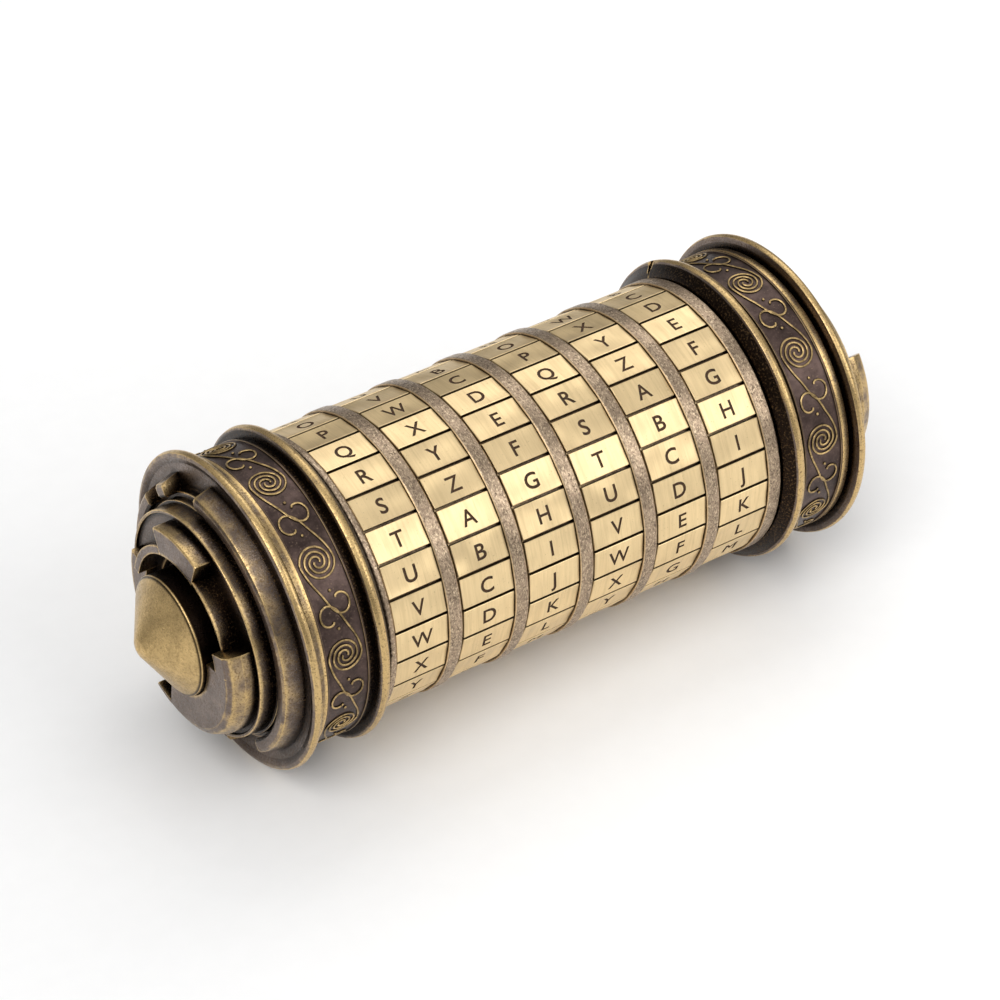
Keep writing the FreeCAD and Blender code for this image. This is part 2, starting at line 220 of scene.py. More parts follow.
class CryptexColours(bpy.types.PropertyGroup):
    """Colours of the finishes."""

    tile_brass: FloatVectorProperty(
        name="Tile brass", description="Satin brass of the lettered tiles",
        subtype="COLOR", default=(0.86, 0.660, 0.370))
    engraving_brown: FloatVectorProperty(
        name="Engraving", description="Dark wax in the letters",
        subtype="COLOR", default=(0.050, 0.024, 0.010))
    band_bronze: FloatVectorProperty(
        name="Band bronze", description="Greyed bronze of the plain bands",
        subtype="COLOR", default=(0.36, 0.265, 0.185))
    rubbed_gold: FloatVectorProperty(
        name="Rubbed gold", description="Brass where handling keeps it bright",
        subtype="COLOR", default=(0.60, 0.42, 0.19))
    aged_bronze: FloatVectorProperty(
        name="Aged bronze", description="Toned flats of the caps",
        subtype="COLOR", default=(0.20, 0.155, 0.13))
    # near-black brown: the patina in the caps' hollows, and also the painted shade on the cone's neck and the
    # scrolls' foot and the painted dark reflection in the hubs' coves
    patina_and_painted_dark: FloatVectorProperty(
        name="Patina", description="Near-black brown in the hollows",
        subtype="COLOR", default=(0.016, 0.010, 0.007))
    sleeve_ground: FloatVectorProperty(
        name="Sleeve ground", description="Dark purple-brown behind the scrolls",
        subtype="COLOR", default=(0.075, 0.050, 0.043))
    turned_brass: FloatVectorProperty(
        name="Turned brass", description="Plain turned brass inside",
        subtype="COLOR", default=(0.66, 0.53, 0.30))
    steel: FloatVectorProperty(
        name="Steel", description="Grub screws and rivets",
        subtype="COLOR", default=(0.42, 0.42, 0.43))
    floor: FloatVectorProperty(
        name="Floor", description="Pale floor",
        subtype="COLOR", default=(0.94, 0.94, 0.94))


# ---------------------------------------------------------------- node trees


class NodeMaker:
    """Adds nodes to a tree and joins them up."""

    def __init__(self, tree, prefix):
        self.tree = tree
        self.prefix = prefix

    def add(self, kind, feeds=None, **settings):
        """A node of this kind with its settings, its inputs fed with values or with other nodes' outputs."""
        whole_name = kind.startswith(("FunctionNode", "ShaderNode"))
        node = self.tree.nodes.new(kind if whole_name else self.prefix + kind)
        for name, value in settings.items():
            setattr(node, name, value)
        for name, value in (feeds or {}).items():
            self.feed(node.inputs[name], value)
        return node

    def feed(self, socket, value):
        """Join an output to the input, or set the input's own value."""
        if isinstance(value, bpy.types.NodeSocket):
            self.tree.links.new(value, socket)
        else:
            socket.default_value = value

    def math(self, operation, *values, clamp=False):
        """The result of one sum on these values."""
        feeds = dict(enumerate(values))
        return self.add("ShaderNodeMath", feeds, operation=operation, use_clamp=clamp).outputs[0]


class ShaderMaker(NodeMaker):
    """Shorthand for the nodes that the finishes share."""

    def __init__(self, name):
        self.material = bpy.data.materials.new(name)
        self.material.use_nodes = True
        super().__init__(self.material.node_tree, "ShaderNode")
        self.tree.nodes.clear()
        self.place = self.add("TexCoord").outputs["Object"]

    def ramp(self, value, low, high, to_low=0.0, to_high=1.0):
        """Smooth step of the value from low to high."""
        feeds = {"Value": value, "From Min": low, "From Max": high, "To Min": to_low, "To Max": to_high}
        return self.add("MapRange", feeds, interpolation_type="SMOOTHSTEP").outputs["Result"]

    def noise(self, feature, detail=3.0, rough=0.55, vector=None):
        """Noise with features of about this size, in metres."""
        feeds = {"Vector": vector or self.place, "Scale": 1.0 / feature, "Detail": detail, "Roughness": rough}
        return self.add("TexNoise", feeds).outputs["Fac"]

    def blend(self, factor, first, second):
        """Mix of two colours."""
        node = self.add("Mix", {"Factor": factor}, data_type="RGBA")
        for socket, value in ((node.inputs[6], first), (node.inputs[7], second)):
            self.feed(socket, value if isinstance(value, bpy.types.NodeSocket) else (*value, 1.0))
        return node.outputs[2]

    def stretched(self, along_axis, around, outward):
        """Coordinates that run along the axis, round it and out from it, each in units of the size given."""
        parts = self.add("SeparateXYZ", {"Vector": self.place}).outputs
        height = self.math("SUBTRACT", parts["Z"], AXIS_HEIGHT)
        angle = self.math("ARCTAN2", parts["Y"], height)
        radius = self.math("SQRT", self.math("ADD", self.math("MULTIPLY", parts["Y"], parts["Y"]),
                                             self.math("MULTIPLY", height, height)))
        feeds = {
            "X": self.math("DIVIDE", parts["X"], along_axis),
            "Y": self.math("DIVIDE", angle, around),
            "Z": self.math("DIVIDE", radius, outward),
        }
        return self.add("CombineXYZ", feeds).outputs["Vector"]

    def radius(self):
        """Distance from the axis, in metres."""
        return self.add("SeparateXYZ", {"Vector": self.stretched(1.0, 1.0, 1.0)}).outputs["Z"]

    def hollow(self, distance):
        """1 deep in a hollow and 0 in the open, from the piece's own shape."""
        shade = self.add("AmbientOcclusion", {"Distance": distance}, only_local=True, samples=8).outputs["AO"]
        return self.math("SUBTRACT", 1.0, shade)

    def worn(self):
        """The piece's own measure of how far its surface stands proud, from -1 to 1."""
        return self.add("Attribute", attribute_name="wear").outputs["Fac"]

    def relief(self, *layers):
        """Height of the surface in metres, from (pattern, depth) layers."""
        total = 0.0
        for pattern, depth in layers:
            total = self.math("MULTIPLY_ADD", pattern, depth, total)
        return total

    def finish(self, colour, roughness, height=None, **fixed):
        """Join colour, roughness and relief to the surface; fixed sets the rest on the shader itself."""
        shader = self.add("BsdfPrincipled", {"Base Color": colour, "Roughness": roughness})
        for name, value in fixed.items():
            shader.inputs[name.replace("_", " ")].default_value = value
        if height is not None:
            bump = self.add("Bump", {"Height": height, "Distance": 1.0, "Strength": 1.0})
            self.tree.links.new(bump.outputs["Normal"], shader.inputs["Normal"])
        out = self.add("OutputMaterial")
        self.tree.links.new(shader.outputs["BSDF"], out.inputs["Surface"])
        return self.material


def tile_brass(colours):
    """Satin brass, brushed round the dial, with a little tarnish, a few dark pits and painted shade in the
    grooves between the tiles.
    """
    make = ShaderMaker("tile_brass")
    brush = make.noise(1.0, 4.0, 0.6, make.stretched(0.00007, 0.22, 0.004))
    coarse = make.noise(1.0, 2.0, 0.5, make.stretched(0.00045, 0.35, 0.004))
    cloud = make.noise(0.006, 3.0)
    dish = make.noise(0.0045, 0.0)
    speck = make.noise(0.00028, 2.0)
    tint = Vector(colours.tile_brass)
    colour = make.blend(make.ramp(cloud, 0.35, 0.7), tint * 0.95, tint * 1.05)
    colour = make.blend(make.ramp(brush, 0.40, 0.75, 0.0, 0.30), colour, tint * 0.72)
    colour = make.blend(make.ramp(coarse, 0.40, 0.75, 0.0, 0.35), colour, DULL_BRASS)
    colour = make.blend(make.ramp(speck, 0.66, 0.76, 0.0, 0.45), colour, TILE_PIT)
    # painted shade: the grooves between the tiles are darkened from the tile's own ambient occlusion
    colour = make.blend(make.ramp(make.hollow(0.0008), 0.10, 0.60, 0.0, 0.95), colour, TILE_GROOVE_SHADE)
    rough = make.ramp(brush, 0.3, 0.7, 0.36, 0.48)
    relief = make.relief((brush, 0.000006), (coarse, 0.000006), (dish, 0.00045))
    return make.finish(colour, rough, relief, Metallic=1.0)


def engraving_wax(colours):
    """Dark wax that fills the letters."""
    make = ShaderMaker("engraving_wax")
    grain = make.noise(0.0003, 3.0)
    tint = Vector(colours.engraving_brown)
    colour = make.blend(make.ramp(grain, 0.3, 0.7), tint * 0.6, tint * 1.9)
    rough = make.ramp(grain, 0.3, 0.7, 0.75, 0.90)
    return make.finish(colour, rough, make.relief((grain, 0.00002)), Metallic=0.0)


def band_bronze(colours):
    """Greyed bronze with pits and bright rubs, and painted shade in the gaps between the dials."""
    make = ShaderMaker("band_bronze")
    cloud = make.noise(0.0025, 4.0, 0.6)
    pits = make.noise(0.00045, 4.0, 0.75)
    scratch = make.noise(1.0, 5.0, 0.8, make.stretched(0.00020, 0.020, 0.002))
    tint = Vector(colours.band_bronze)
    colour = make.blend(make.ramp(cloud, 0.3, 0.7), tint * 0.72, tint * 1.15)
    colour = make.blend(make.ramp(pits, 0.50, 0.62, 0.0, 0.80), colour, BAND_PIT)
    colour = make.blend(make.ramp(scratch, 0.50, 0.62, 0.0, 0.90), colour, BAND_SCRATCH)
    colour = make.blend(make.ramp(make.worn(), 0.20, 0.80, 0.0, 0.75), colour, BAND_EDGE)
    # painted shade: near-black in the narrow gaps between the dials, from ambient occlusion
    colour = make.blend(make.ramp(make.hollow(0.0010), 0.15, 0.60), colour, BAND_GAP_SHADE)
    rough = make.ramp(pits, 0.35, 0.7, 0.30, 0.55)
    return make.finish(colour, rough, make.relief((scratch, 0.00001), (pits, -0.00003)), Metallic=1.0)


def antique_brass(colours, name, dark_reflection_radius=None):
    """Antiqued brass: gold where it is rubbed, grey-brown on flats, near-black in hollows.

    Inside the given radius, if one is given, everything is painted near-black in the patina's colour as a dark
    reflection.
    """
    make = ShaderMaker(name)
    facing = make.add("SeparateXYZ", {"Vector": make.add("TexCoord").outputs["Normal"]}).outputs["X"]
    side_on = make.math("SUBTRACT", 1.0, make.math("ABSOLUTE", facing))
    blotch = make.noise(0.0030, 4.0, 0.62)
    grain = make.noise(0.00030, 4.0, 0.65)
    hollow = make.hollow(0.0060)
    edge_rub = make.math("MULTIPLY", make.worn(), 0.80)
    rub = make.math("ADD", make.math("MULTIPLY", side_on, 0.55), edge_rub)
    rub = make.math("ADD", rub, make.math("MULTIPLY", make.math("SUBTRACT", blotch, 0.5), 1.1))
    rub = make.math("SUBTRACT", rub, make.math("MULTIPLY", hollow, 1.6))
    gold = Vector(colours.rubbed_gold)
    bronze = Vector(colours.aged_bronze)
    colour = make.blend(make.ramp(blotch, 0.3, 0.7), bronze * 0.80, bronze * 1.15)
    colour = make.blend(make.ramp(rub, 0.10, 0.60), colour, gold)
    colour = make.blend(make.ramp(make.worn(), 0.25, 0.85, 0.0, 0.7), colour, gold * 1.30)
    # patina in the hollows and the grain, less on worn edges; on the hubs a painted dark reflection is added to
    # it below
    patina_and_reflection = make.math("ADD", hollow, make.math("MULTIPLY", make.math("SUBTRACT", grain, 0.5), 0.35))
    patina_and_reflection = make.math("SUBTRACT", patina_and_reflection, make.math("MULTIPLY", make.worn(), 0.35))
    # painted dark reflection: inside the given radius, such as the hub's cove under the rim's crest, the colour
    # is pushed to near-black
    if dark_reflection_radius is not None:
        painted_dark_reflection = make.ramp(make.radius(), dark_reflection_radius + 0.0003, dark_reflection_radius - 0.0002, 0.0, 0.45)
        patina_and_reflection = make.math("ADD", patina_and_reflection, painted_dark_reflection)
    colour = make.blend(make.ramp(patina_and_reflection, 0.08, 0.34), colour, colours.patina_and_painted_dark)
    colour = make.blend(make.ramp(grain, 0.52, 0.66, 0.0, 0.75), colour, CAP_SPECK)
    rough = make.ramp(grain, 0.3, 0.7, 0.24, 0.42)
    return make.finish(colour, rough, make.relief((grain, 0.000022), (blotch, 0.00003)), Metallic=1.0)


def hub_brass(colours):
    """Antiqued brass with only the rim's crest rubbed bright; inside it the cove and the rest carry a painted
    dark reflection.
    """
    return antique_brass(colours, "hub_brass", 0.0241)


def plate_brass(colours):
    """Antiqued brass of the cap's outer half."""
    return antique_brass(colours, "plate_brass")


def cone_brass(colours):
    """The finial's satin brass: sandy cast skin, speckled, with a painted shadow on its neck."""
    make = ShaderMaker("cone_brass")
    sand = make.noise(0.00042, 5.0, 0.75)
    cloud = make.noise(0.0030, 4.0)
    gold = Vector(colours.rubbed_gold)
    colour = make.blend(make.ramp(cloud, 0.3, 0.7), gold * 0.80, gold * 1.10)
    colour = make.blend(make.ramp(sand, 0.47, 0.62, 0.0, 0.50), colour, CONE_SPECK)
    colour = make.blend(make.ramp(make.worn(), 0.25, 0.85, 0.0, 0.8), colour, gold * 1.35)
    # painted shadow: beyond the cone's radius, on the neck and shoulder, the colour goes near-black except on
    # worn edges
    past_cone, on_edge = make.ramp(make.radius(), 0.0089, 0.0092), make.ramp(make.worn(), 0.15, 0.60)
    painted_neck_shadow = make.math("SUBTRACT", past_cone, on_edge, clamp=True)
    colour = make.blend(painted_neck_shadow, colour, colours.patina_and_painted_dark)
    rough = make.ramp(sand, 0.3, 0.7, 0.24, 0.40)
    return make.finish(colour, rough, make.relief((sand, 0.00007), (cloud, 0.0001)), Metallic=1.0)


def sleeve_ground(colours):
    """Dark chemical patina with a soft sheen, browner along the lips."""
    make = ShaderMaker("sleeve_ground")
    cloud = make.noise(0.0030, 4.0, 0.6)
    grain = make.noise(0.00035, 4.0, 0.65)
    dark = Vector(colours.sleeve_ground)
    colour = make.blend(make.ramp(cloud, 0.3, 0.7), dark * 0.60, dark * 1.45)
    colour = make.blend(make.ramp(grain, 0.56, 0.72, 0.0, 0.55), colour, SLEEVE_SPECK)
    colour = make.blend(make.ramp(make.worn(), 0.35, 1.0, 0.0, 0.6), colour, colours.rubbed_gold)
    colour = make.blend(make.ramp(make.hollow(0.0006), 0.25, 0.8, 0.0, 0.8), colour, colours.patina_and_painted_dark)
    rough = make.ramp(grain, 0.3, 0.7, 0.28, 0.46)
    return make.finish(colour, rough, make.relief((grain, 0.00002), (cloud, 0.00008)), Metallic=0.9)


def scroll_gold(colours):
    """Raised scrolls: rubbed gold on top, with painted shade where they meet the ground."""
    make = ShaderMaker("scroll_gold")
    grain = make.noise(0.00035, 3.0, 0.6)
    blotch = make.noise(0.0022, 4.0, 0.6)
    gold = Vector(colours.rubbed_gold)
    colour = make.blend(make.ramp(blotch, 0.35, 0.65), gold * 0.45, gold * 1.05)
    colour = make.blend(make.ramp(grain, 0.52, 0.68, 0.0, 0.75), colour, SCROLL_SPECK)
    # near-black low on the scroll and gold only near its top: painted contact shade at the foot, rubbed wear on
    # the top
    colour = make.blend(make.ramp(make.radius(), 0.02284, 0.02297), colours.patina_and_painted_dark, colour)
    rough = make.ramp(grain, 0.3, 0.7, 0.30, 0.46)
    return make.finish(colour, rough, make.relief((grain, 0.00002)), Metallic=1.0)


def turned_brass(colours):
    """Plain brass with fine turning marks and painted shade in its hollows."""
    make = ShaderMaker("turned_brass")
    marks = make.noise(1.0, 3.0, 0.6, make.stretched(0.00012, 0.5, 0.00012))
    cloud = make.noise(0.008, 3.0)
    tint = Vector(colours.turned_brass)
    colour = make.blend(make.ramp(cloud, 0.3, 0.7), tint * 0.85, tint * 1.08)
    # painted shade: darker in the piece's own hollows, from ambient occlusion
    colour = make.blend(make.ramp(make.hollow(0.0015), 0.2, 0.9, 0.0, 0.8), colour, TURNED_HOLLOW_SHADE)
    rough = make.ramp(marks, 0.3, 0.7, 0.24, 0.38)
    return make.finish(colour, rough, make.relief((marks, 0.00001)), Metallic=1.0)


def screw_steel(colours):
    """Plain steel, lightly ground."""
    make = ShaderMaker("screw_steel")
    grain = make.noise(0.00025, 3.0)
    tint = Vector(colours.steel)
    colour = make.blend(make.ramp(grain, 0.3, 0.7), tint * 0.8, tint * 1.15)
    rough = make.ramp(grain, 0.3, 0.7, 0.28, 0.42)
    return make.finish(colour, rough, make.relief((grain, 0.00001)), Metallic=1.0)


def floor_paint(colours):
    """Matt pale board with a faint tooth."""
    make = ShaderMaker("floor_paint")
    tooth = make.noise(0.004, 3.0)
    pale = Vector(colours.floor)
    colour = make.blend(make.ramp(tooth, 0.3, 0.7), pale * 0.99, pale)
    return make.finish(colour, make.ramp(tooth, 0.3, 0.7, 0.7, 0.8), Metallic=0.0)


FINISHES = {}


def finish_of(make, context):
    """The material that this function makes, made once."""
    if make.__name__ not in FINISHES:
        FINISHES[make.__name__] = make(context.scene.cryptex_colours)
    return FINISHES[make.__name__]


# ---------------------------------------------------------------- turned shapes


def rounded(outline):
    """The closed outline with its corners rounded to the radius that each gives."""
    points = []
    for index, (x, y, radius) in enumerate(outline):
        here = Vector((x, y))
        if radius == 0.0:
            points.append(here)
            continue
        back = (Vector(outline[index - 1][:2]) - here).normalized()
        ahead = (Vector(outline[(index + 1) % len(outline)][:2]) - here).normalized()
        half = back.angle(ahead) / 2
        centre = here + (back + ahead).normalized() * radius / math.sin(half)
        first = here + back * radius / math.tan(half) - centre
        last = here + ahead * radius / math.tan(half) - centre
        turn = math.atan2(first.x * last.y - first.y * last.x, first.dot(last))
        for step in range(CORNER_STEPS + 1):
            points.append(centre + Matrix.Rotation(turn * step / CORNER_STEPS, 2) @ first)
    return points


def even(points):
    """The closed outline with long edges divided, so that wear stays close to an edge."""
    result = []
    for index, here in enumerate(points):
        there = points[(index + 1) % len(points)]
        pieces = max(1, math.ceil((there - here).length / LONGEST_STRETCH))
        for step in range(pieces):
            result.append(here.lerp(there, step / pieces))
    return result


def turned_angles(start, end):
    """Angles about the axis, in degrees, for a whole turn or a part of one."""
    if end - start >= 360:
        return [start + 360 * k / TURN_STEPS for k in range(TURN_STEPS)]
    count = max(2, round(TURN_STEPS * (end - start) / 360))
    return [start + (end - start) * k / count for k in range(count + 1)]


def lathe(bm, points, angles, closed=True):
    """Turn a closed outline of (x, radius) about the axis. A part turn gets flat ends."""
    rings = []
    for angle in angles:
        across, up = -math.sin(math.radians(angle)), math.cos(math.radians(angle))
        rings.append([bm.verts.new((x, radius * across, radius * up)) for x, radius in points])
    for k in range(len(rings) if closed else len(rings) - 1):
        here, there = rings[k], rings[(k + 1) % len(rings)]
        for i in range(len(points)):
            j = (i + 1) % len(points)
            bm.faces.new((here[i], here[j], there[j], there[i]))
    if not closed:
        bm.faces.new(rings[0])
        bm.faces.new(reversed(rings[-1]))


def cap_points(outline):
    """A cap's outline with rounded corners and short stretches; its outward side is -x."""
    return [Vector((-p.x, p.y)) for p in even(rounded(outline))]


def cap_lathe(bm, outline, start=0.0, end=360.0):
    """Turn a cap's outline about the axis, all the way or from one angle to another."""
    lathe(bm, cap_points(outline), turned_angles(start, end), end - start >= 360)


def stepped_lathe(bm, outline, crest, spans):
    """Turn a cap's outline whose inner side jumps in and out: each span is (start, end, inner radius).

    What lies outside the crest's radius keeps its place.
    """
    points = cap_points(outline)
    inner = min(p.y for p in points)
    first = len(bm.verts)
    angles, inner_radii = [], []
    for start, end, radius in spans:
        span = turned_angles(start + JUMP, end)
        angles += span
        inner_radii += [radius] * len(span)
    lathe(bm, points, angles, closed=False)
    bm.verts.ensure_lookup_table()
    for k, radius in enumerate(inner_radii):
        for i, point in enumerate(points):
            if point.y < crest:
                moved = crest - (crest - point.y) * (crest - radius) / (crest - inner)
                bm.verts[first + k * len(points) + i].co.yz *= moved / point.y


def closed_up(bm):
    """Merge what meets and turn every face outwards."""
    bmesh.ops.remove_doubles(bm, verts=bm.verts, dist=1e-5)
    bmesh.ops.recalc_face_normals(bm, faces=bm.faces)


def mark_wear(mesh):
    """Store how far each vertex stands proud of its neighbours, where handling rubs the metal bright."""
    points = np.empty(len(mesh.vertices) * 3)
    normals = np.empty(len(mesh.vertices) * 3)
    edges = np.empty(len(mesh.edges) * 2, int)
    mesh.vertices.foreach_get("co", points)
    mesh.vertex_normals.foreach_get("vector", normals)
    mesh.edges.foreach_get("vertices", edges)
    points, normals, edges = points.reshape(-1, 3), normals.reshape(-1, 3), edges.reshape(-1, 2)
    a, b = edges[:, 0], edges[:, 1]
    step = points[a] - points[b]
    length = np.maximum(np.linalg.norm(step, axis=1), 1e-6)
    total, count = np.zeros(len(points)), np.zeros(len(points))
    for here, sign in ((a, 1.0), (b, -1.0)):
        lean = sign * np.einsum("ij,ij->i", step, normals[here]) / length
        np.add.at(total, here, lean)
        np.add.at(count, here, 1.0)
    wear = np.clip(total / np.maximum(count, 1) / FULL_WEAR, -1, 1)
    layer = mesh.attributes.new("wear", "FLOAT", "POINT")
    layer.data.foreach_set("value", wear.astype(np.float32))


def made(name, bm, place, material):
    """A finished object from a mesh in millimetres: faces out, edges marked, and its place in its mesh."""
    mesh = bpy.data.meshes.new(name)
    bm.to_mesh(mesh)
    bm.free()
    mesh.shade_smooth()
    mesh.set_sharp_from_angle(angle=SHARP_EDGE)
    mark_wear(mesh)
    mesh.transform(place @ Matrix.Scale(MM, 4))
    mesh.materials.append(material)
    piece = bpy.data.objects.new(name, mesh)
    bpy.context.scene.collection.objects.link(piece)
    return piece


def with_modifiers(piece):
    """The piece's mesh with its modifiers carried out, as a plain mesh; they are removed from the piece."""
    graph = bpy.context.evaluated_depsgraph_get()
    mesh = bpy.data.meshes.new_from_object(piece.evaluated_get(graph))
    piece.modifiers.clear()
    return mesh


def scratch_object(name, bm):
    """A mesh object to hang modifiers on; free it with discard."""
    mesh = bpy.data.meshes.new(name)
    bm.to_mesh(mesh)
    bm.free()
    piece = bpy.data.objects.new(name, mesh)
    bpy.context.scene.collection.objects.link(piece)
    return piece


def discard(piece):
    """Remove a mesh object and its mesh."""
    mesh = piece.data
    bpy.data.objects.remove(piece)
    bpy.data.meshes.remove(mesh)


def reworked(piece):
    """A new mesh builder with the object's modifiers carried out; the object is freed."""
    mesh = with_modifiers(piece)
    result = bmesh.new()
    result.from_mesh(mesh)
    discard(piece)
    bpy.data.meshes.remove(mesh)
    return result


def bevelled(bm, width):
    """A new mesh builder with the edges of this one bevelled."""
    piece = scratch_object("bevel_work", bm)
    bevel = piece.modifiers.new("edges", "BEVEL")
    bevel.width = width
    bevel.segments = 2
    bevel.limit_method = "ANGLE"
    bevel.angle_limit = math.radians(40)
    return reworked(piece)


def cut_away(bm, cutter):
    """A new mesh builder with the cutter's solids taken out of this one."""
    piece = scratch_object("cut_work", bm)
    tool = scratch_object("cut_tool", cutter)
    cut = piece.modifiers.new("cut", "BOOLEAN")
    cut.operation = "DIFFERENCE"
    cut.solver = "EXACT"
    cut.object = tool
    result = reworked(piece)
    discard(tool)
    return result


def append(bm, other):
    """Add another builder's shells to this one."""
    mesh = bpy.data.meshes.new("append_work")
    other.to_mesh(mesh)
    other.free()
    bm.from_mesh(mesh)
    bpy.data.meshes.remove(mesh)


# Each cap's body, and the place of its inner face, from which its outlines run outwards.
CAPS = {
    "head": ("vault", Matrix.Translation((HEAD_FACE, 0, AXIS_HEIGHT))),
    "far": ("barrel", Matrix.Translation((FAR_FACE, 0, AXIS_HEIGHT)) @ Matrix.Rotation(FAR_CAP_ROLL, 4, "X")
            @ Matrix.Rotation(math.pi, 4, "Z")),
}


# ---------------------------------------------------------------- geometry node trees


class GeometryMaker(NodeMaker):
    """A geometry tree with named inputs."""

    def __init__(self, name, inputs):
        group = bpy.data.node_groups.new(name, "GeometryNodeTree")
        super().__init__(group, "GeometryNode")
        group.interface.new_socket("Geometry", in_out="INPUT", socket_type="NodeSocketGeometry")
        for label, kind in inputs.items():
            group.interface.new_socket(label, in_out="INPUT", socket_type="NodeSocket" + kind)
        group.interface.new_socket("Geometry", in_out="OUTPUT", socket_type="NodeSocketGeometry")
        self.inputs = group.nodes.new("NodeGroupInput").outputs
        self.end = group.nodes.new("NodeGroupOutput")

    def vector(self, x=0.0, y=0.0, z=0.0):
        """A vector of three values or outputs."""
        return self.add("ShaderNodeCombineXYZ", {"X": x, "Y": y, "Z": z}).outputs["Vector"]

    def joined(self, *parts):
        """These geometries as one, in this order."""
        node = self.add("JoinGeometry")
        for part in reversed(parts):
            self.tree.links.new(part, node.inputs["Geometry"])
        return node.outputs["Geometry"]

    def output(self, geometry):
        """The finished tree, which gives this geometry."""
        self.tree.links.new(geometry, self.end.inputs["Geometry"])
        return self.tree


def run_tree(piece, tree, values):
    """Hang the tree on the object with these inputs, and return the plain mesh that it makes."""
    modifier = piece.modifiers.new(tree.name, "NODES")
    modifier.node_group = tree
    for item in tree.interface.items_tree:
        if item.in_out == "INPUT" and item.name in values:
            modifier[item.identifier] = values[item.name]
    return with_modifiers(piece)


